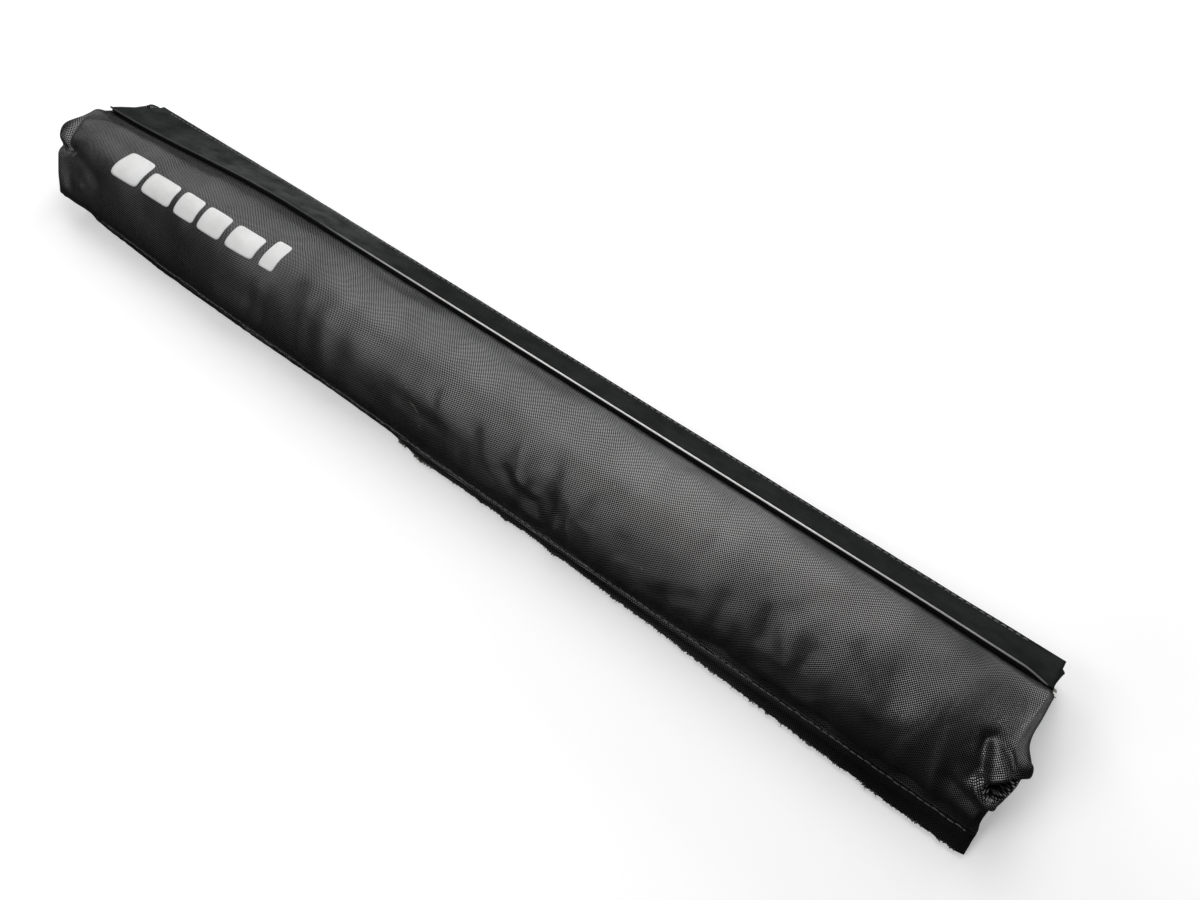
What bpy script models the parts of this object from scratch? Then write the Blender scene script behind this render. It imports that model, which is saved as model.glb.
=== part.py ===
"""Roof rack pad: a long foam pad in a woven cover that closes round a roof bar.

Metres, +Z up. +X runs along the pad to its right end and +Y from the stitched front hem to the
closure at the back. The origin is the middle of the underside. The pad lies closed on itself:
its flap leaves the hem, passes under the pad and is pressed onto the back with its hook tape.
"""

import math
import random

import bmesh
import bpy
from mathutils import Vector

MM = 0.001

# Overall sizes, from which every piece takes its place
LENGTH = 711 * MM
CREST_HEIGHT = 64 * MM
CREST_IN = 32 * MM
LEFT_DROP = 11 * MM
LEFT_RUN = 180 * MM
RIGHT_DROP = 3 * MM
RIGHT_RUN = 90 * MM
SHOULDER_DROP = 3.5 * MM
SHOULDER_RUN = 32 * MM

# The back of the dome drops into a ditch, and the hook tape starts there
RIDGE_IN = 64 * MM
RIDGE_FALL = 13.5 * MM
DITCH_DROP = 2.5 * MM
TAPE_WIDTH = 36 * MM
TAPE_SLOPE = math.radians(40)
BACK_ROUND = 7 * MM
LEFT_RIDGE_DROP = 10 * MM
LEFT_RIDGE_PULL = 4 * MM
RIGHT_RIDGE_DROP = 1.5 * MM

# The front face bulges past the hem, and its left half leans over it
BELLY_OUT = 2.5 * MM
BELLY_HEIGHT = 23 * MM
SHOULDER_IN = 6.5 * MM
SHOULDER_FALL = 17 * MM
HEM_TUCK = 6 * MM
LEFT_SETBACK = 3.5 * MM

# The sewn flange below the hem, wide at the right end and hidden along the left third
FLANGE_RIGHT = 12.5 * MM
FLANGE_LEFT = 1 * MM
FLANGE_STEP = 1 * MM
BASE_TUCK = 1.5 * MM
FLAP_TUCK = 3 * MM
RIGHT_FLAT_OUT = 5.5 * MM

# Cloth, tape and foam
CLOTH = 0.9 * MM
LOOP_TAPE = 1.2 * MM
HOOK_TAPE = 1.3 * MM
TAPE_BEAD = 0.8 * MM
SEAM_OVERLAP = 5 * MM
GAP = 0.3 * MM
TAPE_GAP = 0.6 * MM
FOAM_CLEARANCE = 2.2 * MM
FOOT_ROOM = 4 * MM

# The stuffed ends: the cover rolls inwards to a lip, with a plain panel behind it
LEFT_BULGE = 6 * MM
LEFT_REACH = 3.2 * MM
RIGHT_BULGE = 8 * MM
END_EDGE = 2 * MM
LEFT_ROLL_SETBACK = 16 * MM
ROLL_SETBACK_RUN = 60 * MM
LIP_DEPTH = 16 * MM
LIP_TURN = math.radians(112)
LEFT_PANEL_SETBACK = 4.5 * MM
LEFT_PANEL_CROWN = 1 * MM
RIGHT_PANEL_SETBACK = 1.5 * MM
RIGHT_PANEL_CROWN = 5 * MM
FOAM_BEHIND = 5 * MM
FOAM_ROUND = 5 * MM
FLAP_SETBACK = 1 * MM
TAPE_CORNER_CUT = 11 * MM
LEFT_TAPE_DROP = 2 * MM
RIGHT_TAPE_SHORT = 4 * MM

# Soft puckers that rise from the hem, and slow waves over the dome
PUCKER_COUNT = 15
PUCKER_START = -150 * MM
PUCKER_DEPTH = 1.1 * MM
PUCKER_WIDTH = 9 * MM
WAVE_HEIGHT = 0.5 * MM
WAVE_LENGTH = 96 * MM
PUCKER_SEED = 11
SWELL_FADE = 30 * MM

# How finely the sheets are laid out
COVER_ROWS = 60
DOME_COLUMNS = 12
BACK_COLUMNS = 7
LIP_ROWS = 5
FLAT_ROWS = 30
FLAP_TURN_STEPS = 7

# Sizes that follow from those above
RIDGE_HEIGHT = CREST_HEIGHT - RIDGE_FALL
SHOULDER_HEIGHT = CREST_HEIGHT - SHOULDER_FALL
CORNER = (LENGTH - LEFT_REACH - RIGHT_BULGE) / 2
MIDDLE_X = (RIGHT_BULGE - LEFT_REACH) / 2
BASE_LOW = CLOTH + GAP
BASE_TOP = BASE_LOW + CLOTH
FLANGE_LOW = BASE_TOP + GAP + CLOTH
HEM_HEIGHT = FLANGE_LOW + FLANGE_STEP
TAPE_END = (
    RIDGE_IN + TAPE_WIDTH * math.cos(TAPE_SLOPE),
    RIDGE_HEIGHT - TAPE_WIDTH * math.sin(TAPE_SLOPE),
)
BACK_IN = TAPE_END[0] + BACK_ROUND
BACK_OUTSIDE = BACK_IN + GAP + CLOTH
MIDDLE_Y = (BACK_OUTSIDE - FLANGE_RIGHT) / 2

BLACK_CLOTH = ((0.022, 0.022, 0.023, 1), 0.55)
BLACK_TAPE = ((0.016, 0.017, 0.018, 1), 0.7)
BLACK_LINER = ((0.014, 0.014, 0.015, 1), 0.35)
BLACK_FOAM = ((0.03, 0.03, 0.03, 1), 0.9)


def clear_scene():
    for thing in list(bpy.data.objects):
        bpy.data.objects.remove(thing)


def smoothstep(value):
    value = min(max(value, 0.0), 1.0)
    return value * value * (3 - 2 * value)


def curve_through(points, steps):
    """A smooth path through the points, with this many steps between each two of them."""
    ends = [2 * points[0] - points[1]] + points + [2 * points[-1] - points[-2]]
    path = []
    for a, b, c, d in zip(ends, ends[1:], ends[2:], ends[3:]):
        for step in range(steps):
            t = step / steps
            path.append(
                0.5 * (2 * b + (c - a) * t + (2 * a - 5 * b + 4 * c - d) * t**2 + (3 * b - a - 3 * c + d) * t**3)
            )
    return path + [points[-1]]


class Path:
    """An outline across the pad, read by the distance along it. Its outer side is on the left."""

    def __init__(self, points):
        self.points = points
        self.marks = [0.0]
        for start, end in zip(points, points[1:]):
            self.marks.append(self.marks[-1] + (end - start).length)
        self.length = self.marks[-1]

    def at(self, distance):
        distance = min(max(distance, 0.0), self.length)
        i = max(k for k, mark in enumerate(self.marks[:-1]) if mark <= distance)
        start, end = self.points[i], self.points[i + 1]
        share = (distance - self.marks[i]) / (self.marks[i + 1] - self.marks[i])
        return start.lerp(end, share)

    def outward(self, distance):
        reach = 1.5 * MM
        run = (self.at(distance + reach) - self.at(distance - reach)).normalized()
        return Vector((-run.y, run.x))

    def nearest(self, spot):
        """The distance along the path to its point nearest to a spot."""
        i = min(range(len(self.points)), key=lambda k: (self.points[k] - spot).length)
        return self.marks[i]


def left_share(x):
    """0 over the right half of the pad, rising to 1 at its left end."""
    return smoothstep((-0.2 * CORNER - x) / (0.8 * CORNER))


def hem_in(x):
    return LEFT_SETBACK * left_share(x) + HEM_TUCK * smoothstep((-0.1 * CORNER - x) / (0.35 * CORNER))


def flange_width(x):
    share = (x + CORNER / 3) / (CORNER * 4 / 3)
    return FLANGE_LEFT + (FLANGE_RIGHT - FLANGE_LEFT) * min(max(share, 0.0), 1.0)


def end_share(x, run):
    """0 along the pad, rising to 1 at either end over the last run."""
    return smoothstep(1 - (CORNER - abs(x)) / run)


def droop(x):
    """0 along the pad, rising to 1 at either end, slowly towards the softer left one."""
    return end_share(x, LEFT_RUN if x < 0 else RIGHT_RUN)


def fullness(x):
    """The height of the dome at x over its height along the middle."""
    drop = (LEFT_DROP if x < 0 else RIGHT_DROP) * droop(x)
    return 1 - (drop + SHOULDER_DROP * end_share(x, SHOULDER_RUN)) / CREST_HEIGHT


def ridge_line(x):
    """The seat of the hook tape's free edge, and the seat of its sewn edge."""
    share = droop(x)
    if x < 0:
        ridge = Vector((RIDGE_IN - LEFT_RIDGE_PULL * share, RIDGE_HEIGHT - LEFT_RIDGE_DROP * share))
        return ridge, Vector((TAPE_END[0], TAPE_END[1] - LEFT_TAPE_DROP * share))
    return Vector((RIDGE_IN, RIDGE_HEIGHT - RIGHT_RIDGE_DROP * share)), Vector(TAPE_END)


def cover_path(x):
    """The cover's outer face from the hem over the dome and down the back, as (y in from the hem, z)."""
    setback = LEFT_SETBACK * left_share(x)
    full = fullness(x)
    crest = CREST_HEIGHT * full
    ridge, tape_end = ridge_line(x)
    slope = (tape_end - ridge).normalized()
    ditch = ridge - DITCH_DROP * slope
    spots = [
        Vector((hem_in(x), HEM_HEIGHT)),
        Vector((setback - 0.8 * BELLY_OUT, 0.5 * BELLY_HEIGHT)),
        Vector((setback - BELLY_OUT, BELLY_HEIGHT)),
        Vector((setback + SHOULDER_IN, SHOULDER_HEIGHT * full)),
        Vector((0.6 * CREST_IN, crest - 3.5 * MM)),
        Vector((CREST_IN, crest)),
        Vector((0.5 * (CREST_IN + RIDGE_IN), crest - 1.8 * MM)),
        ditch + Vector((-4.5 * MM, 5 * MM)),
        ditch,
        ridge + 3 * MM * slope,
        ridge + 0.45 * TAPE_WIDTH * slope,
        ridge + 0.85 * TAPE_WIDTH * slope,
        tape_end - 0.5 * MM * Vector((-slope.y, slope.x)),
        Vector((BACK_IN - 0.8 * MM, 0.6 * tape_end.y)),
        Vector((BACK_IN, 0.3 * tape_end.y)),
        Vector((BACK_IN - 1.5 * MM, BASE_TOP + GAP)),
    ]
    return Path(curve_through(spots, 6))


def pucker_list():
    """Each pucker's place along the pad, width, depth, reach up the dome and lean."""
    draw = random.Random(PUCKER_SEED)
    pitch = (CORNER - 30 * MM - PUCKER_START) / PUCKER_COUNT
    found = []
    for i in range(PUCKER_COUNT):
        place = PUCKER_START + (i + draw.uniform(0.2, 0.8)) * pitch
        width = PUCKER_WIDTH * draw.uniform(0.7, 1.3)
        depth = PUCKER_DEPTH * draw.uniform(0.5, 1.0) * (-1 if i % 2 else 1)
        found.append((place, width, depth, draw.uniform(0.3, 0.5), draw.uniform(-14, 4) * MM))
    return found


PUCKERS = pucker_list()


def swell(x, share):
    """How far the cloth stands off its plain form at a share of the way from the hem to the ridge."""
    fade = smoothstep(share / 0.08) * smoothstep((1 - share) / 0.1) * smoothstep((CORNER - abs(x)) / SWELL_FADE)
    total = WAVE_HEIGHT * math.sin(2 * math.pi * x / WAVE_LENGTH + 3 * share) * smoothstep(share / 0.4)
    for place, width, depth, reach, lean in PUCKERS:
        offset = (x - place - lean * share) / width
        total += depth * math.exp(-offset * offset) * smoothstep(1 - share / reach)
    return total * fade


def roll_weight(distance, ridge_at, length):
    """How much of the rolled end each part of the section takes: all of the dome, little of its edges."""
    rise = smoothstep(distance / (26 * MM))
    fall = 1 - 0.65 * smoothstep((distance - ridge_at + 48 * MM) / (40 * MM))
    back = 1 - smoothstep((distance - ridge_at) / (length - ridge_at))
    return 0.04 + 0.96 * rise * fall * back


def stations(rows, lip_rows):
    """(x, turn) from the left end to the right: turn is 0 along the pad and runs to 1 at a lip's edge."""
    spots = [(-CORNER, 1 - i / lip_rows) for i in range(lip_rows)]
    spots += [(-CORNER + 2 * CORNER * i / rows, 0.0) for i in range(rows + 1)]
    spots += [(CORNER, (i + 1) / lip_rows) for i in range(lip_rows)]
    return spots


def placed(x, spot):
    return Vector((x - MIDDLE_X, spot.x - MIDDLE_Y, spot.y))


def left_setback(x, spot):
    """How far a spot of the soft left end is pushed in: all of it low at the front, none at the crest or the back."""
    if x >= 0:
        return 0.0
    low = smoothstep((CREST_HEIGHT - spot.y) / (0.7 * CREST_HEIGHT))
    forward = 1 - smoothstep(spot.x / (0.7 * BACK_IN))
    return forward * low * LEFT_ROLL_SETBACK * end_share(x, ROLL_SETBACK_RUN)


def rolled(x, turn, spot, weight, front=0.0):
    """Carries a spot of the section round the stuffed end. Front is 1 at the flange and 0 up the dome."""
    middle = section_middle()
    angle = turn * LIP_TURN
    inward = weight * LIP_DEPTH * (1 - math.cos(angle)) * (middle - spot).normalized()
    bulge = LEFT_BULGE if x < 0 else RIGHT_BULGE
    outward = weight * bulge * math.sin(angle) + (1 - weight) * END_EDGE * turn
    outward -= max(weight, front) * left_setback(x, spot)
    if x > 0:
        outward += front * turn * (RIGHT_FLAT_OUT - END_EDGE)
    side = math.copysign(1, x)
    return placed(x + side * outward, spot + inward)


def section_middle():
    return Vector((0.45 * BACK_IN, 0.42 * CREST_HEIGHT))


def collection_for(name):
    group = bpy.data.collections.new(name)
    bpy.context.scene.collection.children.link(group)
    return group


def finish(name, form, look, group):
    """Turns a bmesh into a named object with its own material."""
    mesh = bpy.data.meshes.new(name)
    form.to_mesh(mesh)
    form.free()
    mesh.shade_smooth()
    mesh.set_sharp_from_angle(angle=math.radians(40))
    thing = bpy.data.objects.new(name, mesh)
    group.objects.link(thing)
    colour, roughness = look
    material = bpy.data.materials.new(name)
    material.use_nodes = True
    shader = material.node_tree.nodes["Principled BSDF"]
    shader.inputs["Base Color"].default_value = colour
    shader.inputs["Roughness"].default_value = roughness
    mesh.materials.append(material)
    return thing


def sheet(name, place, columns, rows, thickness, look, group, under=False):
    """A sheet of cloth or tape: a grid laid out by place(column, row) as its outer face, thickened inwards.

    The outer face looks up, or down where the sheet lies under the pad.
    """
    form = bmesh.new()
    bmesh.ops.create_grid(form, x_segments=columns, y_segments=rows, size=0.5)
    for vert in form.verts:
        column = round((vert.co.x + 0.5) * columns)
        row = round((vert.co.y + 0.5) * rows)
        vert.co = place(column, row)
    if not under:
        bmesh.ops.reverse_faces(form, faces=form.faces)
    thing = finish(name, form, look, group)
    thicken(thing, thickness)
    return thing


def thicken(thing, thickness):
    solid = thing.modifiers.new("Thickness", "SOLIDIFY")
    solid.thickness = thickness
    solid.offset = -1


def loft(name, rings, look, group, closed):
    """Skins rings of equal count and fills the last of them, and the first too for a closed body."""
    form = bmesh.new()
    made = [[form.verts.new(spot) for spot in ring] for ring in rings]
    for near, far in zip(made, made[1:]):
        for i in range(len(near)):
            j = (i + 1) % len(near)
            form.faces.new((near[i], near[j], far[j], far[i]))
    form.faces.new(made[-1])
    if closed:
        form.faces.new(made[0][::-1])
    bmesh.ops.triangulate(form, faces=[face for face in form.faces if len(face.verts) > 4])
    bmesh.ops.recalc_face_normals(form, faces=form.faces)
    return finish(name, form, look, group)


def column_marks(path, ridge_at):
    """The distances of the cover's columns: even over the dome, close at the ditch, even down the back."""
    ditch_at = ridge_at - DITCH_DROP
    dome_end = ditch_at - 8 * MM
    back_start = ridge_at + 3 * MM
    marks = [dome_end * i / DOME_COLUMNS for i in range(DOME_COLUMNS + 1)]
    marks += [ditch_at - 5 * MM, ditch_at - 2 * MM, ditch_at]
    marks += [back_start + (path.length - back_start) * i / BACK_COLUMNS for i in range(BACK_COLUMNS + 1)]
    return marks


def cover_spots(x, turn):
    """The cover's columns at one station, from the flange's edge to the foot of the back."""
    path = cover_path(x)
    ridge_at = path.nearest(ridge_line(x)[0])
    width = flange_width(x)
    hem = path.at(0)
    spots = []
    for share in (1.0, 0.35):
        flange = Vector((hem.x - share * width, hem.y - share * FLANGE_STEP))
        spots.append(rolled(x, turn, flange, 0.04, 1.0))
    for distance in column_marks(path, ridge_at):
        share = min(distance / ridge_at, 1.0)
        spot = path.at(distance) + swell(x, share) * path.outward(distance)
        front = 1 - smoothstep(distance / (22 * MM))
        spots.append(rolled(x, turn, spot, roll_weight(distance, ridge_at, path.length), front))
    return spots


def top_cover(group):
    rows = [cover_spots(x, turn) for x, turn in stations(COVER_ROWS, LIP_ROWS)]
    columns = len(rows[0]) - 1
    sheet("top_cover", lambda i, j: rows[j][i], columns, len(rows) - 1, CLOTH, BLACK_CLOTH, group)


def inner_ring(x, inset, floor, pull=0.0):
    """A closed ring inside the cover, flat along the base and drawn in by pull."""
    path = cover_path(x)
    ridge_at = path.nearest(ridge_line(x)[0])
    marks = column_marks(path, ridge_at)
    middle = section_middle()
    ring = []
    for distance in marks:
        spot = path.at(distance) - inset * path.outward(distance)
        spot += pull * (middle - spot).normalized()
        if distance in (marks[0], marks[-1]):
            spot = Vector((max(spot.x, path.at(0).x + inset + FOOT_ROOM), floor))
        spot = Vector((spot.x, max(spot.y, floor)))
        ring.append(placed(x + left_setback(x, spot), spot))
    return ring


def foam_core(group):
    inset = CLOTH + FOAM_CLEARANCE
    floor = BASE_TOP + GAP
    left = -CORNER + LEFT_PANEL_SETBACK + FOAM_BEHIND
    right = CORNER - RIGHT_PANEL_SETBACK - FOAM_BEHIND
    rounding = [(0.0, FOAM_ROUND), (0.3 * FOAM_ROUND, 0.4 * FOAM_ROUND), (FOAM_ROUND, 0.0)]
    stops = [(left + inwards, pull) for inwards, pull in rounding]
    start = left + 2 * FOAM_ROUND
    run = right - 2 * FOAM_ROUND - start
    stops += [(start + run * i / FLAT_ROWS, 0.0) for i in range(FLAT_ROWS + 1)]
    stops += [(right - inwards, pull) for inwards, pull in reversed(rounding)]
    rings = [inner_ring(x, inset, floor, pull) for x, pull in stops]
    loft("foam_core", rings, BLACK_FOAM, group, closed=True)


def end_panel(name, side, setback, bulge, group):
    """The liner cloth that closes one end, behind the cover's rolled lip, bulging a little."""
    inset = CLOTH + GAP
    floor = BASE_TOP + GAP
    rings = []
    for share in (0.0, 0.3, 0.65, 0.9):
        x = side * (CORNER - setback)
        ring = inner_ring(x, inset, floor)
        middle = placed(x + left_setback(x, section_middle()), section_middle())
        crown = Vector((side * bulge * math.sin(0.5 * math.pi * share), 0, 0))
        rings.append([spot.lerp(middle, share) + crown for spot in ring])
    panel = loft(name, rings, BLACK_LINER, group, closed=False)
    if panel.data.polygons[-1].normal.x * side < 0:
        panel.data.flip_normals()
    thicken(panel, CLOTH)


def flat_rows(reach=0.0):
    """The rows of a flat layer, with its right end this far past the dome's corner."""
    rows = [-CORNER + 2 * CORNER * i / FLAT_ROWS for i in range(FLAT_ROWS + 1)]
    return [x + reach * smoothstep((x - CORNER + RIGHT_RUN) / RIGHT_RUN) for x in rows]


def base_panel(group):
    """The flat cloth panel that seats on the roof bar, sewn into the hem and the back seam."""
    front_rows = flat_rows(RIGHT_FLAT_OUT)
    back_rows = flat_rows()

    def place(column, row):
        if column == 0:
            x = front_rows[row]
            edge = Vector((hem_in(x) - flange_width(x) + BASE_TUCK, BASE_LOW))
            return placed(x + left_setback(x, edge), edge)
        return placed(back_rows[row], Vector((BACK_IN - 2 * MM, BASE_LOW)))

    sheet("base_panel", place, 1, FLAT_ROWS, CLOTH, BLACK_CLOTH, group, under=True)


def flap_path(x):
    """The flap's outer face, from under the tape down the back to the underside."""
    path = cover_path(x)
    seam = path.nearest(ridge_line(x)[1]) - SEAM_OVERLAP
    lift = GAP + CLOTH
    low = path.nearest(Vector((BACK_IN, 0.3 * TAPE_END[1])))
    marks = [seam + (low - seam) * i / FLAP_TURN_STEPS for i in range(FLAP_TURN_STEPS + 1)]
    spots = [path.at(mark) + lift * path.outward(mark) for mark in marks]
    return spots + [
        Vector((BACK_OUTSIDE - 0.9 * MM, 1.4 * MM)),
        Vector((BACK_OUTSIDE - 3 * MM, 0)),
    ]


def closing_flap(group):
    trim = (CORNER - FLAP_SETBACK) / CORNER
    front_rows = [x * trim for x in flat_rows(RIGHT_FLAT_OUT)]
    back_rows = [x * trim for x in flat_rows()]
    backs = [flap_path(x) for x in back_rows]

    def place(column, row):
        if column == 0:
            x = front_rows[row]
            edge = Vector((hem_in(x) - flange_width(x) + FLAP_TUCK, 0))
            return placed(x + left_setback(x, edge), edge)
        return placed(back_rows[row], backs[row][-column])

    sheet("closing_flap", place, len(backs[0]), FLAT_ROWS, CLOTH, BLACK_CLOTH, group, under=True)


def tape(name, first, last, lift, thickness, bead, look, group):
    """A tape along the back slope between two distances past the ridge."""
    across = [first, first + 1.2 * MM, first + 2.4 * MM, last - 2 * MM, last]
    rise = [0.4 * bead, bead, 0, 0, 0]
    rows = flat_rows()

    def place(column, row):
        distance = across[column]
        share = smoothstep((distance - first) / (last - first))
        left = -CORNER + FLAP_SETBACK + share * TAPE_CORNER_CUT
        right = CORNER - RIGHT_TAPE_SHORT
        x = left + (right - left) * (rows[row] + CORNER) / (2 * CORNER)
        ridge, tape_end = ridge_line(x)
        slope = (tape_end - ridge).normalized()
        up = Vector((-slope.y, slope.x))
        return placed(x, ridge + distance * slope + (lift + thickness + rise[column]) * up)

    sheet(name, place, len(across) - 1, FLAT_ROWS, thickness, look, group)


def main():
    clear_scene()
    group = collection_for("roof_rack_pad")
    foam_core(group)
    top_cover(group)
    base_panel(group)
    end_panel("left_end_panel", -1, LEFT_PANEL_SETBACK, LEFT_PANEL_CROWN, group)
    end_panel("right_end_panel", 1, RIGHT_PANEL_SETBACK, RIGHT_PANEL_CROWN, group)
    tape("loop_tape", 2 * MM, TAPE_WIDTH - SEAM_OVERLAP - 1 * MM, TAPE_GAP, LOOP_TAPE, 0, BLACK_TAPE, group)
    tape("hook_tape", 0, TAPE_WIDTH, TAPE_GAP + LOOP_TAPE + GAP, HOOK_TAPE, TAPE_BEAD, BLACK_TAPE, group)
    closing_flap(group)


main()
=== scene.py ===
"""The looks of the roof rack pad: its woven cover, tapes, flap, liner, print, stitching and loose fibres.

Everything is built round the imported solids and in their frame: metres, +X along the pad to its right
end, +Y from the stitched front hem to the closure at the back, +Z up.
"""

import math
import random

import bpy
import numpy as np
from mathutils import Matrix, Vector, noise


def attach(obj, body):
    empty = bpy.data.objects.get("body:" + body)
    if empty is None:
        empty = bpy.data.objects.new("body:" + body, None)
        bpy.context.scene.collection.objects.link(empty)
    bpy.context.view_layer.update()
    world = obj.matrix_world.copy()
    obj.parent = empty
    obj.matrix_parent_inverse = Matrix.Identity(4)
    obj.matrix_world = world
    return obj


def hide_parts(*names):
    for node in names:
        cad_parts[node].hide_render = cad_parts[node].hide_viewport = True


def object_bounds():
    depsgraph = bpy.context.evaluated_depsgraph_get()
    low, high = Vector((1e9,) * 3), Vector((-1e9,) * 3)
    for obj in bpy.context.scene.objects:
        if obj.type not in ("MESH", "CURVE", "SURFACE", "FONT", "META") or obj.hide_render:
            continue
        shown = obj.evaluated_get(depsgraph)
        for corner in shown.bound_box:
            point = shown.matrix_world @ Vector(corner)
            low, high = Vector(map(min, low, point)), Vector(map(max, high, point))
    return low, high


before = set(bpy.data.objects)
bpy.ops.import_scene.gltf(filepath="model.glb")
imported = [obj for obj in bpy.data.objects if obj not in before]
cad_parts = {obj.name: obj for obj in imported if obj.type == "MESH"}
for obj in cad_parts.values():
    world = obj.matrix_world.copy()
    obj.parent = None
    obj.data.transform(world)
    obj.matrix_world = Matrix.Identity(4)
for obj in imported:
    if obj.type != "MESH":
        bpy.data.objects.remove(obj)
cad_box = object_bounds()
MM = 0.001

# Sizes repeated from the part
LENGTH = 711 * MM
CREST_HEIGHT = 64 * MM
CREST_IN = 32 * MM
LEFT_DROP = 11 * MM
LEFT_RUN = 180 * MM
RIGHT_DROP = 3 * MM
RIGHT_RUN = 90 * MM
SHOULDER_DROP = 3.5 * MM
SHOULDER_RUN = 32 * MM
RIDGE_IN = 64 * MM
RIDGE_HEIGHT = 50.5 * MM
DITCH_DROP = 2.5 * MM
TAPE_WIDTH = 36 * MM
TAPE_SLOPE = math.radians(40)
BACK_ROUND = 7 * MM
LEFT_RIDGE_DROP = 10 * MM
LEFT_RIDGE_PULL = 4 * MM
RIGHT_RIDGE_DROP = 1.5 * MM
BELLY_OUT = 2.5 * MM
BELLY_HEIGHT = 23 * MM
SHOULDER_IN = 6.5 * MM
SHOULDER_HEIGHT = 47 * MM
LEFT_SETBACK = 3.5 * MM
FLANGE_RIGHT = 12.5 * MM
FLANGE_STEP = 1 * MM
BASE_TUCK = 1.5 * MM
FLAP_TUCK = 3 * MM
RIGHT_FLAT_OUT = 5.5 * MM
CLOTH = 0.9 * MM
LOOP_TAPE = 1.2 * MM
HOOK_TAPE = 1.3 * MM
TAPE_BEAD = 0.8 * MM
SEAM_OVERLAP = 5 * MM
GAP = 0.3 * MM
TAPE_GAP = 0.6 * MM
LEFT_BULGE = 6 * MM
LEFT_REACH = 3.2 * MM
RIGHT_BULGE = 8 * MM
END_EDGE = 2 * MM
LEFT_ROLL_SETBACK = 16 * MM
ROLL_SETBACK_RUN = 60 * MM
LIP_DEPTH = 16 * MM
LIP_TURN = math.radians(112)
FLAP_SETBACK = 1 * MM
TAPE_CORNER_CUT = 11 * MM
LEFT_TAPE_DROP = 2 * MM
RIGHT_TAPE_SHORT = 4 * MM
CORNER = (LENGTH - LEFT_REACH - RIGHT_BULGE) / 2
MIDDLE_X = (RIGHT_BULGE - LEFT_REACH) / 2
BASE_LOW = CLOTH + GAP
BASE_TOP = BASE_LOW + CLOTH
HEM_HEIGHT = BASE_TOP + GAP + CLOTH + FLANGE_STEP
TAPE_END = (
    RIDGE_IN + TAPE_WIDTH * math.cos(TAPE_SLOPE),
    RIDGE_HEIGHT - TAPE_WIDTH * math.sin(TAPE_SLOPE),
)
BACK_IN = TAPE_END[0] + BACK_ROUND
BACK_OUTSIDE = BACK_IN + GAP + CLOTH
MIDDLE_Y = (BACK_OUTSIDE - FLANGE_RIGHT) / 2
SECTION_MIDDLE = np.array((0.45 * BACK_IN, 0.42 * CREST_HEIGHT))

# Where the cloth departs a little from the solids: the tape's farther reach at the right, and how much
# the ditch in front of the tape is filled, in millimetres
TAPE_REACH = 3.2 * MM
DITCH_FILL = 0.9

# The hem along x, in millimetres: how far it is tucked in, and how far its raw edge stands out
HEM_X = (-350, -320, -240, -160, -80, -32, -6, 80, 160, 240, 310, 350)
HEM_TUCK = (5.5, 2.9, 1.1, 1.3, 1.7, 1.2, 0.2, 0, 0, 0, 0, 0)
FLANGE = (1.0, 2.2, 3.0, 2.7, 1.8, 2.2, 4.7, 4.5, 6.8, 9.8, 12.2, 12.5)

# How finely the visible cloth is laid out
END_ZONE = 50 * MM
MIDDLE_ROWS = 256
END_ROWS = 42
LIP_ROWS = 22
LIP_ARC = 24
DOME_COLUMNS = 72
BACK_COLUMNS = 12
FLANGE_SHARES = (1.0, 0.84, 0.68, 0.52, 0.4, 0.32, 0.26, 0.21, 0.16, 0.11, 0.07, 0.03)

# The flange across its width: a rolled welt and a shallow groove, as (share of the width, spread, height)
WELT = (0.16, 0.11, 1.1 * MM)
GROOVE = (0.42, 0.12, -0.5 * MM)

# The pitch of the weave's threads, in millimetres
THREAD = 0.7

# A tape's outer face over the cover's, and the sewn rows
TAPE_STACK = TAPE_GAP + LOOP_TAPE + GAP + HOOK_TAPE
TAPE_STITCH_IN = 3.2 * MM
STITCH_PITCH = 4.2
STITCH_LENGTH = 3.7
STITCH_RADIUS = 0.38 * MM
STITCH_RISE = 0.4
HEM_STITCH_SHARE = 0.16

# How thick the loose fibres are
KNOT_RADIUS = 0.3 * MM
BROWN_RADIUS = 0.26 * MM
HAIR_RADIUS = 0.11 * MM
TAPE_FIBRE_RADIUS = 0.28 * MM
LINT_RADIUS = 0.13 * MM


def smooth(value):
    value = np.clip(value, 0.0, 1.0)
    return value * value * (3 - 2 * value)


def unit(vectors):
    return vectors / np.linalg.norm(vectors, axis=-1, keepdims=True)


def end_share(x, run):
    return smooth(1 - (CORNER - abs(x)) / run)


# The section of the cover, as the part has it but for the hem

def left_share(x):
    return smooth((-0.2 * CORNER - x) / (0.8 * CORNER))


def hem_in(x):
    return LEFT_SETBACK * left_share(x) + float(np.interp(x / MM, HEM_X, HEM_TUCK)) * MM


def flange_width(x):
    return float(np.interp(x / MM, HEM_X, FLANGE)) * MM


def droop(x):
    return end_share(x, LEFT_RUN if x < 0 else RIGHT_RUN)


def fullness(x):
    drop = (LEFT_DROP if x < 0 else RIGHT_DROP) * droop(x)
    return 1 - (drop + SHOULDER_DROP * end_share(x, SHOULDER_RUN)) / CREST_HEIGHT


def ridge_line(x):
    share = droop(x)
    if x < 0:
        ridge = (RIDGE_IN - LEFT_RIDGE_PULL * share, RIDGE_HEIGHT - LEFT_RIDGE_DROP * share)
        return np.array(ridge), np.array((TAPE_END[0], TAPE_END[1] - LEFT_TAPE_DROP * share))
    return np.array((RIDGE_IN, RIDGE_HEIGHT - RIGHT_RIDGE_DROP * share)), np.array(TAPE_END)


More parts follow.
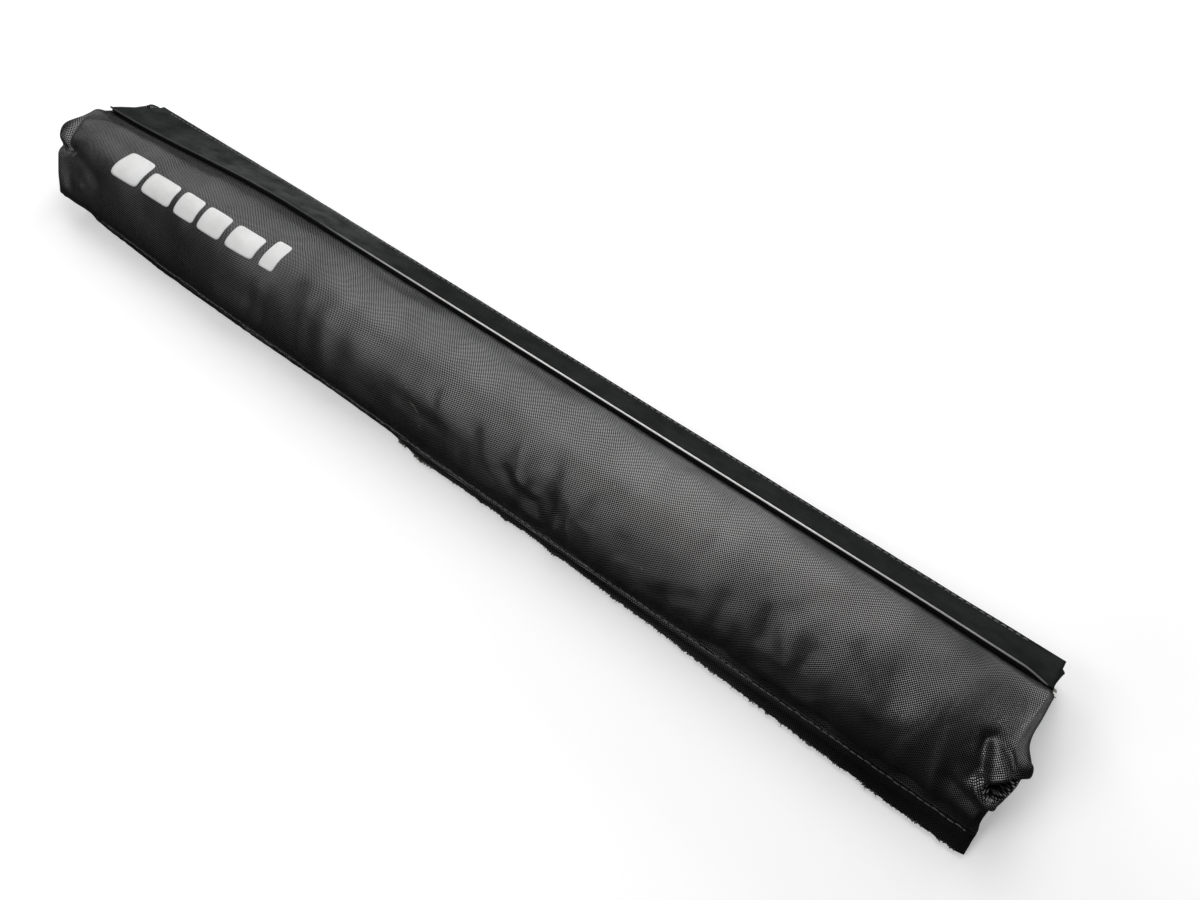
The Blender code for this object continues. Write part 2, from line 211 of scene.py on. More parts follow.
def left_setback(x, s, z):
    if x >= 0:
        return 0.0 * s
    low = smooth((CREST_HEIGHT - z) / (0.7 * CREST_HEIGHT))
    forward = 1 - smooth(s / (0.7 * BACK_IN))
    return forward * low * LEFT_ROLL_SETBACK * end_share(x, ROLL_SETBACK_RUN)


class Section:
    """The cover's outer face across the pad at one x, read by the distance from the hem."""

    def __init__(self, x):
        setback = LEFT_SETBACK * left_share(x)
        full = fullness(x)
        crest = CREST_HEIGHT * full
        ridge, tape_end = ridge_line(x)
        slope = unit(tape_end - ridge)
        ditch = ridge - DITCH_DROP * slope
        spots = np.array([
            (hem_in(x), HEM_HEIGHT),
            (setback - 0.8 * BELLY_OUT, 0.5 * BELLY_HEIGHT),
            (setback - BELLY_OUT, BELLY_HEIGHT),
            (setback + SHOULDER_IN, SHOULDER_HEIGHT * full),
            (0.6 * CREST_IN, crest - 3.5 * MM),
            (CREST_IN, crest),
            (0.5 * (CREST_IN + RIDGE_IN), crest - 1.8 * MM),
            ditch + (-4.5 * MM, 5 * MM),
            ditch,
            ridge + 3 * MM * slope,
            ridge + 0.45 * TAPE_WIDTH * slope,
            ridge + 0.85 * TAPE_WIDTH * slope,
            tape_end - 0.5 * MM * np.array((-slope[1], slope[0])),
            (BACK_IN - 0.8 * MM, 0.6 * tape_end[1]),
            (BACK_IN, 0.3 * tape_end[1]),
            (BACK_IN - 1.5 * MM, BASE_TOP + GAP),
        ])
        ends = np.vstack([2 * spots[0] - spots[1], spots, 2 * spots[-1] - spots[-2]])
        t = np.linspace(0, 1, 12, endpoint=False)[:, None]
        parts = []
        for a, b, c, d in zip(ends, ends[1:], ends[2:], ends[3:]):
            cubic = (2 * a - 5 * b + 4 * c - d) * t**2 + (3 * b - a - 3 * c + d) * t**3
            parts.append(0.5 * (2 * b + (c - a) * t + cubic))
        self.points = np.vstack(parts + [spots[-1:]])
        steps = np.linalg.norm(np.diff(self.points, axis=0), axis=1)
        self.marks = np.concatenate([[0.0], np.cumsum(steps)])
        self.length = self.marks[-1]
        self.ridge_at = self.nearest(ridge)
        self.seam_at = self.nearest(tape_end)
        self.x = x

    def nearest(self, spot):
        return self.marks[np.argmin(np.linalg.norm(self.points - spot, axis=1))]

    def at(self, d):
        return np.stack([np.interp(d, self.marks, self.points[:, k]) for k in (0, 1)], -1)

    def outward(self, d):
        reach = 1.5 * MM
        run = unit(self.at(np.minimum(d + reach, self.length)) - self.at(np.maximum(d - reach, 0)))
        return np.stack([-run[..., 1], run[..., 0]], -1)

    def columns(self):
        """The distances of the cover's columns, close together at the ditch."""
        ditch_at = self.ridge_at - DITCH_DROP
        dome_end = ditch_at - 8 * MM
        back_start = self.ridge_at + 3 * MM
        dome = np.linspace(0, dome_end, DOME_COLUMNS + 1)
        ditch = ditch_at - np.array((6.4, 4.8, 3.4, 2.2, 1.1, 0.0)) * MM
        return np.concatenate([dome, ditch, np.linspace(back_start, self.length, BACK_COLUMNS + 1)])


def roll_weight(d, ridge_at, length):
    rise = smooth(d / (26 * MM))
    fall = 1 - 0.65 * smooth((d - ridge_at + 48 * MM) / (40 * MM))
    back = 1 - smooth((d - ridge_at) / (length - ridge_at))
    return 0.04 + 0.96 * rise * fall * back


def lip_share(x, d, ridge_at):
    """How much of the lip's depth is left: little above the mouth of the right end, where it turns in."""
    above_mouth = smooth((d - 50 * MM) / (10 * MM)) * (1 - smooth((d - ridge_at) / (12 * MM)))
    return 1 - 0.85 * above_mouth * (x > 0)


def rolled(x, turn, spots, weight, front, lip_scale):
    """Carries spots of the section round the stuffed end, as points of the row frame."""
    angle = turn * LIP_TURN
    depth = weight * LIP_DEPTH * lip_scale * (1 - math.cos(angle))
    spots_in = spots + depth[:, None] * unit(SECTION_MIDDLE - spots)
    bulge = LEFT_BULGE if x < 0 else RIGHT_BULGE
    outward = weight * bulge * math.sin(angle) + (1 - weight) * END_EDGE * turn
    outward = outward - np.maximum(weight, front) * left_setback(x, spots[:, 0], spots[:, 1])
    if x > 0:
        outward = outward + front * turn * (RIGHT_FLAT_OUT - END_EDGE)
    side = math.copysign(1, x)
    ends = x + side * outward - MIDDLE_X
    return np.stack([ends, spots_in[:, 0] - MIDDLE_Y, spots_in[:, 1]], -1)


def drawn_in(x, d, ridge_at):
    """How far the right end is drawn in above its mouth, in metres, for arrays of places in millimetres."""
    broad = 4.2 * smooth((d - 54) / 14) * (1 - smooth((d - ridge_at - 20) / 30))
    deepest = 2.2 * np.exp(-(((d - 71) / 11) ** 2))
    return smooth((x - 338) / 24) * (broad + deepest) * MM


def left_hem_lift(x, d):
    """How far the left end of the hem is pulled in and up, in metres."""
    near = smooth((-CORNER / MM + 14 - x) / 14) * smooth(1 - np.abs(d) / 13)
    return (near * 3.6 * MM)[..., None] * np.array((1.0, 0.1, 0.35))


# What stands off the cover's plain form. Places are (x, distance from the hem) in millimetres, where x
# runs on round the stuffed ends, LIP_ARC past each corner. A negative height is a hollow.

# Soft folds: (x, distance, angle, half length, half width, height); angle 90 runs up the dome
FOLDS = (
    (310, 58, 80, 20, 8, 1.0),
    (-325, 92, 100, 22, 9, -0.9),
    (-300, 62, 85, 26, 12, -0.9),
    (-262, 84, 96, 20, 10, 0.8),
    (-205, 90, 100, 20, 11, -0.8),
    (-120, 70, 98, 24, 10, -0.8),
    (-40, 56, 100, 24, 11, -0.9),
    (-85, 52, 96, 20, 9, 0.8),
    (30, 84, 110, 18, 12, -0.6),
    (128, 82, 108, 18, 12, -0.7),
    (338, 57, 60, 5, 4.5, -1.8),
    (347.6, 51, 0, 5.5, 4.5, 1.2),
    (365, 58, 0, 6, 8, 1.4),
    (-352, 61, 90, 7, 6, 2.4),
    (-350, 33, 90, 12, 9, 1.0),
    (-339, 26, 90, 8, 7, -1.6),
    (-322, 30.5, 10, 5, 2.4, 0.9),
)

# Gathers that rise from the hem: (x and distance of both ends, half width, height)
GATHERS = (
    (62, 69, 67, 60, 1.6, -0.5),
    (63, 57, 67, 36, 5.4, 1.5),
    (67, 38, 76, 33, 3.6, 0.9),
    (79, 56, 88, 34, 7.8, -1.7),
    (60, 36, 79, 22, 6.0, -1.0),
    (58, 42, 71, 27, 3.8, 0.7),
    (39, 57, 42, 38, 6.0, 0.9),
    (29, 50, 38, 34, 6.0, -0.6),
    (-1, 56, 1, 48, 2.4, -0.5),
    (6, 68, 15, 60, 3.6, -0.6),
    (113, 55, 113, 40, 3.0, -0.9),
    (107, 52, 107, 38, 4.8, 0.6),
    (135, 43, 137, 33, 3.0, -0.9),
    (99, 42, 99, 23, 6.0, 0.9),
    (139, 59, 156, 44, 4.8, -0.6),
    (172, 98, 179, 69, 1.4, -0.5),
    (179, 69, 178, 61, 2.4, -0.5),
    (198, 47, 200, 33, 6.0, -1.1),
    (221, 55, 224, 40, 5.4, -1.3),
    (235, 55, 238, 35, 6.0, 1.1),
    (249, 50, 252, 26, 6.0, -1.1),
    (259, 65, 282, 45, 7.2, 0.9),
    (268, 65, 301, 41, 5.4, -0.8),
    (287, 62, 294, 53, 6.0, -0.9),
    (289, 32, 294, 15, 5.4, -1.4),
    (300, 46, 303, 16, 15.6, 1.2),
    (333, 42, 334, 12, 16.8, -1.9),
    (195, 70, 219, 61, 8.4, 0.7),
    (245, 80, 230, 60, 6.0, -0.6),
    (163, 23, 181, 35, 6.0, -0.9),
    (-22, 38, 8, 35, 6.0, -0.7),
)

# How deep the cloth is drawn in just above the hem: x and depth
UNDERCUT_X = (-350, -300, -130, -60, 0, 100, 240, 320, 350)
UNDERCUT = (1.2, 1.8, 1.8, 1.4, 1.2, 1.3, 2.0, 2.4, 1.2)

# Folded edges and grooves: (points, half width, height)
CREASES = (
    (((343, 41), (340.5, 47), (338, 53.5), (336.2, 60), (338.5, 63.5), (342, 62.8), (347.6, 60),
      (351.3, 56.4), (356.3, 52.5)), 2.8, -3.0),
    (((340, 40), (336.5, 47), (334, 54), (334.5, 60)), 4.4, -2.6),
    (((-340, 24), (-225, 25), (-110, 25)), 12.0, 1.3),
    (((341, 41.5), (347, 44.5), (351, 48), (355, 51.5), (361, 52.3), (372, 51)), 1.8, 1.3),
    (((341.5, 37.5), (344.5, 33.6), (350, 30.8), (356, 30)), 1.9, 2.0),
    (((356, 30), (362, 28.5), (374, 27)), 3.0, 0.5),
    (((362, 16), (368, 24)), 8.0, -2.4),
    (((330, 30), (345, 25), (355, 22), (366, 19)), 4.0, -1.6),
    (((-347.5, 73), (-344.6, 67), (-344, 60), (-342.5, 54), (-341, 49)), 1.7, -1.8),
    (((-374, 49), (-352, 48.5), (-343, 48), (-335, 50)), 3.0, -3.2),
    (((-335, 50), (-318, 46), (-300, 41)), 5.0, -1.0),
    (((-346, 71), (-330, 79), (-310, 84), (-290, 84)), 6.0, 0.9),
    (((-341, 62), (-325, 69), (-305, 73), (-285, 69)), 5.5, -0.8),
)

# The mouth of the tucked end, open under the fold at the right
POCKET = ((345, 38), (347.6, 42), (350.6, 45.4), (355, 48.8), (361, 49.4), (374, 48.5), (374, 40),
          (361, 34.6), (355, 33.6), (350, 33), (346.5, 35))
POCKET_DEPTH = 11.5
POCKET_EDGE = 2.0


def pleats():
    """Small puckers that rise from the hem stitching, strongest along the right half."""
    draw = random.Random(23)
    found = []
    at = -150.0
    while at < 330:
        strength = 0.5 + 0.5 * min(max((at + 40) / 140, 0), 1)
        height = strength * draw.uniform(0.7, 2.0) * draw.choice((-1, -1, 1))
        reach = draw.uniform(12, 28)
        found.append((at, reach * 0.8, draw.uniform(84, 108), reach, draw.uniform(3.0, 6.0), height))
        at += draw.uniform(9, 18)
    return tuple(found)


def to_segment(x, d, a, b):
    run = (b[0] - a[0], b[1] - a[1])
    share = np.clip(((x - a[0]) * run[0] + (d - a[1]) * run[1]) / (run[0] ** 2 + run[1] ** 2), 0, 1)
    return np.hypot(x - a[0] - share * run[0], d - a[1] - share * run[1])


def to_line(x, d, points):
    return np.min([to_segment(x, d, a, b) for a, b in zip(points, points[1:])], axis=0)


def inside(x, d, corners):
    found = np.zeros(x.shape, bool)
    for a, b in zip(corners, corners[1:] + corners[:1]):
        if a[1] == b[1]:
            continue
        between = (d > min(a[1], b[1])) & (d <= max(a[1], b[1]))
        found ^= between & (x < a[0] + (d - a[1]) * (b[0] - a[0]) / (b[1] - a[1]))
    return found


def in_pocket(x, d):
    """1 inside the mouth of the turned-in end, 0 outside, and a steep slope between. It also sets the
    painted shade inside the mouth.
    """
    edge = to_line(x, d, POCKET + POCKET[:1]) * np.where(inside(x, d, POCKET), 1, -1)
    return smooth(edge / POCKET_EDGE)


def left_fold_painted_shade(x, d):
    """1 on the small fold at the left end, where painted shade darkens the cloth's colour and sheen."""
    return 0.75 * smooth((-346 - x) / 3) * smooth(1 - np.abs(d - 62) / 12)


def field(x, d, wide, tall, layer):
    """Smooth noise over arrays of places, with its scales along x and d in millimetres."""
    values = [noise.noise((a / wide, b / tall, layer)) for a, b in zip(x.ravel(), d.ravel())]
    return np.array(values).reshape(x.shape)


def wrinkles(x, d):
    """Fine creases that wander up from the hem, deepest along the right half, and faint ones elsewhere."""
    lean = math.radians(14)
    along = d * math.cos(lean) + x * math.sin(lean)
    across = x * math.cos(lean) - d * math.sin(lean)
    lines = field(across, along, 10, 30, 3.3) + 0.35 * field(across, along, 5, 14, 8.2)
    sharp = np.clip(1 - 3.2 * np.abs(lines), 0, 1) ** 2
    strength = np.clip(0.5 + field(x, d, 60, 40, 12.0), 0, 1)
    low = 1 - smooth((d - 42) / 34)
    right = smooth((x + 70) / 90) * (1 - 0.6 * smooth((x - 250) / 60))
    return sharp * strength * (0.1 + 0.45 * low * right)


def relief(x, d, ridge_at):
    """How far the cloth stands off its plain form, in metres, for arrays of places in millimetres."""
    share = d / ridge_at
    total = 0.5 * np.sin(2 * math.pi * x / 96 + 3 * share) * smooth(share / 0.4)
    for fx, fd, angle, half_length, half_width, height in FOLDS + pleats():
        c, s = math.cos(math.radians(angle)), math.sin(math.radians(angle))
        along = (x - fx) * c + (d - fd) * s
        across = -(x - fx) * s + (d - fd) * c
        total += height * np.exp(-((along / half_length) ** 2) - (across / half_width) ** 2)
    for x0, d0, x1, d1, half_width, height in GATHERS:
        total += height * np.exp(-((to_segment(x, d, (x0, d0), (x1, d1)) / half_width) ** 2))
    total -= np.interp(x, UNDERCUT_X, UNDERCUT) * np.exp(-(((d - 7) / 14) ** 2))
    for points, half_width, height in CREASES:
        total += height * np.exp(-((to_line(x, d, points) / half_width) ** 2))
    total -= POCKET_DEPTH * in_pocket(x, d)
    total += 1.5 * field(x, d, 40, 30, 1.7) + 0.45 * field(x, d, 14, 17, 5.1)
    total -= wrinkles(x, d)
    total *= smooth(share / 0.05) * smooth((1 - share) / 0.08)
    total += DITCH_FILL * np.exp(-(((d - ridge_at + 3) / 5) ** 2))
    return total * MM


def swelling(shares, middle, spread, height):
    return height * np.exp(-(((shares - middle) / spread) ** 2))


class Cover:
    """The visible cover: a fine grid of points with the distances of its columns."""

    def __init__(self):
        inner = CORNER - END_ZONE
        ends = np.linspace(inner, CORNER, END_ROWS + 1)
        middle = np.linspace(-inner, inner, MIDDLE_ROWS + 1)
        self.xs = np.concatenate([-ends[::-1], middle[1:-1], ends])
        sections = [Section(float(x)) for x in self.xs]
        turns = [(i + 1) / LIP_ROWS for i in range(LIP_ROWS)]
        stops = [(sections[0], turn) for turn in turns[::-1]]
        stops += [(section, 0.0) for section in sections]
        stops += [(sections[-1], turn) for turn in turns]
        shares = np.array(FLANGE_SHARES)
        self.columns = np.array([
            np.concatenate([-shares * flange_width(section.x), section.columns()])
            for section, _ in stops
        ])
        plain = np.array([self.row(section, turn) for section, turn in stops])
        normals = unit(np.cross(np.gradient(plain, axis=0), np.gradient(plain, axis=1)))
        self.places = np.array([
            section.x / MM + math.copysign(LIP_ARC, section.x) * turn
            for section, turn in stops
        ])
        x = np.repeat(self.places[:, None], plain.shape[1], axis=1)
        ridge_at = np.array([section.ridge_at for section, _ in stops])[:, None] / MM
        marks = self.columns / MM
        # Painted shade: the cloth's colour and sheen are darkened inside the mouth of the right end and on
        # the small fold at the left end.
        self.painted_shade = np.maximum(np.clip(2.5 * in_pocket(x, marks), 0, 1), left_fold_painted_shade(x, marks))
        self.grid = plain + relief(x, marks, ridge_at)[..., None] * normals
        self.grid += left_hem_lift(x, marks)
        self.grid[..., 0] -= drawn_in(x, marks, ridge_at)

    def row(self, section, turn):
        x = section.x
        d = section.columns()
        width = flange_width(x)
        hem = section.at(0.0)
        shares = np.array(FLANGE_SHARES)
        ragged = 0.8 * noise.noise((x / (4 * MM), 9.0, 0.0))
        ragged += 0.7 * noise.noise((x / (17 * MM), 4.0, 0.0))
        ragged *= MM * min(width / (6 * MM), 1)
        rise = swelling(shares, *WELT) * (width / FLANGE_RIGHT) ** 0.5 + swelling(shares, *GROOVE)
        flange = np.stack([hem[0] - shares * (width + ragged), hem[1] - shares * FLANGE_STEP + rise], -1)
        weight = roll_weight(d, section.ridge_at, section.length)
        weight = np.concatenate([np.full(len(shares), 0.04), weight])
        front = np.concatenate([np.ones(len(shares)), 1 - smooth(d / (22 * MM))])
        rumple = 0.5 * np.sin(d / (5.2 * MM)) + 0.5 * np.sin(d / (8.3 * MM) + 1)
        lip = 1 + 0.16 * turn * np.concatenate([np.zeros(len(shares)), rumple])
        lip[len(shares):] *= lip_share(x, d, section.ridge_at)
        return rolled(x, turn, np.vstack([flange, section.at(d)]), weight, front, lip)

    def on(self, x, d, lift):
        """The point of the outer face at a place, raised along the normal. x may run round an end."""
        row = float(np.interp(x / MM, self.places, np.arange(len(self.places))))
        j = min(max(int(row), 0), len(self.grid) - 2)
        v = row - j
        marks = (1 - v) * self.columns[j] + v * self.columns[j + 1]
        column = float(np.interp(d, marks, np.arange(len(marks))))
        i = min(int(column), len(marks) - 2)
        u = column - i
        g = self.grid
        low = (1 - u) * g[j, i] + u * g[j, i + 1]
        high = (1 - u) * g[j + 1, i] + u * g[j + 1, i + 1]
        along = (1 - u) * (g[j + 1, i] - g[j, i]) + u * (g[j + 1, i + 1] - g[j, i + 1])
        across = (1 - v) * (g[j, i + 1] - g[j, i]) + v * (g[j + 1, i + 1] - g[j + 1, i])
        return (1 - v) * low + v * high + lift * unit(np.cross(along, across))


# Materials

class Nodes:
    """A short way to write a node tree."""

    def __init__(self, name):
        self.material = bpy.data.materials.new(name)
        self.material.use_nodes = True
        self.tree = self.material.node_tree
        self.shader = self.tree.nodes["Principled BSDF"]

    def node(self, kind, **settings):
        made = self.tree.nodes.new(kind)
        for key, value in settings.items():
            setattr(made, key, value)
        return made

    def link(self, source, target):
        self.tree.links.new(source, target)

    def math(self, operation, a, b=None, c=None):
        made = self.node("ShaderNodeMath", operation=operation)
        for socket, value in zip(made.inputs, (a, b, c)):
            if value is None:
                continue
            if isinstance(value, (int, float)):
                socket.default_value = value
            else:
                self.link(value, socket)
        return made.outputs[0]

    def coordinates(self):
        return self.node("ShaderNodeTexCoord").outputs["Object"]

    def noise(self, scale, detail, rough=0.5):
        made = self.node("ShaderNodeTexNoise")
        made.inputs["Scale"].default_value = scale
        made.inputs["Detail"].default_value = detail
        made.inputs["Roughness"].default_value = rough
        self.link(self.coordinates(), made.inputs["Vector"])
        return made.outputs["Fac"]

    def uv(self):
        split = self.node("ShaderNodeSeparateXYZ")
        self.link(self.node("ShaderNodeUVMap", uv_map="mm").outputs[0], split.inputs[0])
        return split.outputs[0], split.outputs[1]

    def range(self, value, *limits):
        """The value taken from one range to another: low and high, then what they become."""
        made = self.node("ShaderNodeMapRange")
        for key, limit in zip(("From Min", "From Max", "To Min", "To Max"), limits):
            made.inputs[key].default_value = limit
        self.link(value, made.inputs["Value"])
        return made.outputs[0]

    def colour(self, factor, dark, light):
        made = self.node("ShaderNodeMix", data_type="RGBA")
        self.link(factor, made.inputs["Factor"])
        made.inputs["A"].default_value = (*dark, 1)
        made.inputs["B"].default_value = (*light, 1)
        return made.outputs["Result"]

    def bump(self, height, distance):
        made = self.node("ShaderNodeBump")
        made.inputs["Distance"].default_value = distance
        made.inputs["Strength"].default_value = 1.0
        self.link(height, made.inputs["Height"])
        return made.outputs[0]

    def set(self, **values):
        for key, value in values.items():
            socket = self.shader.inputs[key.replace("_", " ")]
            if isinstance(value, (int, float, tuple)):
                socket.default_value = value
            else:
                self.link(value, socket)

    def weave(self, pitch):
        """The heights of the warp and weft threads, from 0 between them to 1 on their crowns."""
        u, v = self.uv()
        u = self.math("DIVIDE", self.math("MULTIPLY_ADD", self.noise(55, 2), 1.4, u), pitch)
        v = self.math("DIVIDE", self.math("MULTIPLY_ADD", self.noise(38, 2), 1.8, v), pitch)
        wave_u = self.math("SINE", self.math("MULTIPLY", self.math("FRACT", u), math.pi))
        wave_v = self.math("SINE", self.math("MULTIPLY", self.math("FRACT", v), math.pi))
        cells = self.math("ADD", self.math("FLOOR", u), self.math("FLOOR", v))
        odd = self.math("MODULO", self.math("ABSOLUTE", cells), 2.0)
        sign = self.math("MULTIPLY_ADD", odd, 2.0, -1.0)
        over = self.math("MULTIPLY_ADD", self.math("MULTIPLY", sign, wave_u), 0.5, 0.5)
        under = self.math("MULTIPLY_ADD", self.math("MULTIPLY", sign, wave_v), -0.5, 0.5)
        return self.math("MULTIPLY", wave_v, over), self.math("MULTIPLY", wave_u, under)


def cloth_material(name, dark, light, roughness):
    """Coated plain weave: shiny warp crowns over duller weft, uneven dye and a little dust, with painted
    shade in the right end's mouth, on the left end's small fold and on the flange.
    """
    n = Nodes(name)
    warp, weft = n.weave(THREAD)
    bright_warp = n.range(warp, 0.32, 0.62, 0.0, 1.0)
    dull_weft = n.math("MULTIPLY", weft, 0.06)
    crowns = n.math("MAXIMUM", bright_warp, dull_weft)
    cloudy = n.noise(26, 4, 0.55)
    slubs = n.noise(420, 2, 0.6)
    tone = n.math("MULTIPLY_ADD", crowns, 0.75, n.math("MULTIPLY", cloudy, 0.25))
    # Painted shade, read from a mesh attribute, darkens the colour in the right end's mouth and on the left
    # end's small fold.
    painted_shade = n.node("ShaderNodeAttribute", attribute_name="painted_shade").outputs["Fac"]
    outside_painted_shade = n.math("SUBTRACT", 1.0, painted_shade)
    n.set(Base_Color=n.colour(n.math("MULTIPLY", tone, outside_painted_shade), dark, light))
    uneven = n.math("ADD", tone, n.math("MULTIPLY", slubs, 0.4))
    n.set(Roughness=n.range(uneven, 0.2, 1.2, roughness + 0.1, roughness - 0.06))
    # Painted shade: the flange below the hem keeps only a little sheen, least towards the right end,
    # standing in for the shade the dome casts on it.
    u, v = n.uv()
    flange_painted_sheen = n.range(u, 180.0, 300.0, 0.15, 0.03)
    sheen_under_painted_flange_shade = n.math("ADD", n.range(v, -2.6, 1.2, 0.0, 1.0), flange_painted_sheen)
    shown = n.math("MULTIPLY", sheen_under_painted_flange_shade, outside_painted_shade)
    n.set(Specular_IOR_Level=n.math("MULTIPLY", n.range(tone, 0.12, 0.8, 0.01, 1.0), shown))
    n.set(Specular_Tint=n.colour(tone, (1.0, 1.0, 1.0), (3.9, 3.9, 3.9)))
    height = n.math("MULTIPLY_ADD", slubs, 0.3, n.math("MAXIMUM", warp, weft))
    n.set(Normal=n.bump(height, 0.1 * MM))
    return n.material


def tape_material(name, dark, light, dust=0.0):
    """The matte back of a closing tape: fine ribs and cords, slightly mottled, dusty near the left."""
    n = Nodes(name)
    u, v = n.uv()
    ribs = n.math("SINE", n.math("MULTIPLY", u, 2 * math.pi / 0.9))
    cords = n.math("SINE", n.math("MULTIPLY", v, 2 * math.pi / 0.8))
    mottled = n.noise(70, 5, 0.65)
    dusty = n.math("MULTIPLY", n.range(u, 40, 130, 0.25, 1.0), n.range(u, 190, 270, dust, 0.0))
    tone = n.math("MULTIPLY_ADD", dusty, n.range(mottled, 0.35, 0.65, 0.4, 1.6), mottled)
    n.set(Base_Color=n.colour(n.range(tone, 0.3, 2.0, 0.0, 1.0), dark, light))
    n.set(Roughness=0.72, Specular_IOR_Level=0.12)
    height = n.math("ADD", n.math("MULTIPLY", ribs, cords), n.math("MULTIPLY", mottled, 2.0))
    n.set(Normal=n.bump(height, 0.04 * MM))
    return n.material


def highlight_painted_edge_material(name):
    """The heat-cut edge of the tape, glossy, with a painted highlight: pale along the middle, fading dark
    towards both ends.
    """
    n = Nodes(name)
    u, v = n.uv()
    # Painted highlight: the pale middle stands in for the lamps' reflection along the rounded edge, and
    # fades towards both ends.
    pale = n.math("MULTIPLY", n.range(u, -150, -20, 0.0, 1.0), n.range(u, 200, 340, 1.0, 0.16))
    grain = n.math("MULTIPLY_ADD", n.noise(300, 3, 0.6), 0.4, 0.8)
    n.set(Base_Color=n.colour(n.math("MULTIPLY", pale, grain), (0.03, 0.031, 0.031), (0.8, 0.8, 0.78)))
    n.set(Roughness=0.3)
    return n.material


def liner_material(name):
    """Thin glossy coated liner, crumpled."""
    n = Nodes(name)
    fine = n.noise(190, 5, 0.6)
    broad = n.noise(60, 3, 0.5)
    n.set(Base_Color=n.colour(fine, (0.008, 0.008, 0.009), (0.02, 0.02, 0.022)))
    n.set(Roughness=n.range(broad, 0.3, 0.7, 0.22, 0.42))
    n.set(Normal=n.bump(n.math("ADD", fine, n.math("MULTIPLY", broad, 3.0)), 0.5 * MM))
    return n.material


def foam_material(name):
    n = Nodes(name)
    cells = n.node("ShaderNodeTexVoronoi")
    cells.inputs["Scale"].default_value = 900
    n.link(n.coordinates(), cells.inputs["Vector"])
    n.set(Base_Color=n.colour(cells.outputs["Distance"], (0.02, 0.02, 0.021), (0.045, 0.045, 0.047)))
    n.set(Roughness=0.9)
    n.set(Normal=n.bump(cells.outputs["Distance"], 0.3 * MM))
    return n.material


def fibre_material(name, dark, light, roughness):
    """Thread or fibre: a fine uneven tone and surface."""
    n = Nodes(name)
    grain = n.noise(300, 3, 0.6)
    n.set(Base_Color=n.colour(grain, dark, light))
    n.set(Roughness=roughness)
    n.set(Normal=n.bump(grain, 0.08 * MM))
    return n.material


def print_material(name):
    """Flat white ink on the weave, a little worn on the thread crowns."""
    n = Nodes(name)
    warp, weft = n.weave(THREAD)
    weave = n.math("MAXIMUM", warp, weft)
    worn = n.noise(90, 4, 0.6)
    whole = n.range(worn, 0.2, 0.6, 0.0, 1.0)
    n.set(Base_Color=n.colour(whole, (0.68, 0.68, 0.675), (0.79, 0.79, 0.785)))
    n.set(Roughness=0.55)
    n.set(Normal=n.bump(weave, 0.05 * MM))
    return n.material


# Building pieces

def mesh_piece(name, points, faces, material, uvs=None, node=None):
    """A named piece from points and faces, riding on the pad."""
    mesh = bpy.data.meshes.new(name)
    mesh.from_pydata([tuple(map(float, p)) for p in points], [], faces)
    mesh.update()
    if uvs is not None:
        layer = mesh.uv_layers.new(name="mm")
        corners = np.empty(len(mesh.loops), int)
        mesh.loops.foreach_get("vertex_index", corners)
        layer.data.foreach_set("uv", np.asarray(uvs, float)[corners].ravel())
    mesh.shade_smooth()
    mesh.materials.append(material)
    piece = bpy.data.objects.new(name, mesh)
    bpy.context.scene.collection.objects.link(piece)
    if node:
        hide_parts(node)
    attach(piece, "root")
    return piece


def thicken(piece, thickness):
    """Gives a sheet its thickness, inwards from its outer face."""
    solid = piece.modifiers.new("Thickness", "SOLIDIFY")
    solid.thickness = thickness
    solid.offset = -1


def quads(rows, columns):
    """The faces of a grid of points."""
    index = np.arange(rows * columns).reshape(rows, columns)
    corners = (index[:-1, :-1], index[1:, :-1], index[1:, 1:], index[:-1, 1:])
    return np.stack(corners, -1).reshape(-1, 4)


def grid_piece(name, grid, material, uvs, node, thickness, flip=False):
    """A sheet from a grid of points."""
    faces = quads(*grid.shape[:2])
    if flip:
        faces = faces[:, ::-1]
    piece = mesh_piece(name, grid.reshape(-1, 3), faces.tolist(), material, uvs.reshape(-1, 2), node)
    thicken(piece, thickness)
    return piece


def tubes(paths, radius, sides):
    """Points and faces of thin round tubes along the paths, closed at both ends."""
    points = []
    faces = []
    for path in paths:
        path = np.asarray(path, float)
        start = len(points)
        tangents = unit(np.gradient(path, axis=0))
        guide = np.array((0.0, 0.0, 1.0))
        if abs(tangents[0] @ guide) > 0.9:
            guide = np.array((0.0, 1.0, 0.0))
        for k, (spot, tangent) in enumerate(zip(path, tangents)):
            side = unit(np.cross(tangent, guide))
            up = np.cross(side, tangent)
            thin = 0.45 if k in (0, len(path) - 1) else 1.0
            for m in range(sides):
                turn = 2 * math.pi * m / sides
                points.append(spot + thin * radius * (math.cos(turn) * side + math.sin(turn) * up))
        for k in range(len(path) - 1):
            for m in range(sides):
                a = start + k * sides + m
                b = start + k * sides + (m + 1) % sides
                faces.append((a, b, b + sides, a + sides))
        faces.append(tuple(range(start, start + sides))[::-1])
        last = start + (len(path) - 1) * sides
        faces.append(tuple(range(last, last + sides)))
    return points, faces


def fibres_piece(name, paths, radius, material, sides=5):
    """Threads or fibres along the paths, as one piece."""
    points, faces = tubes(paths, radius, sides)
    mesh_piece(name, points, faces, material)


cover = Cover()

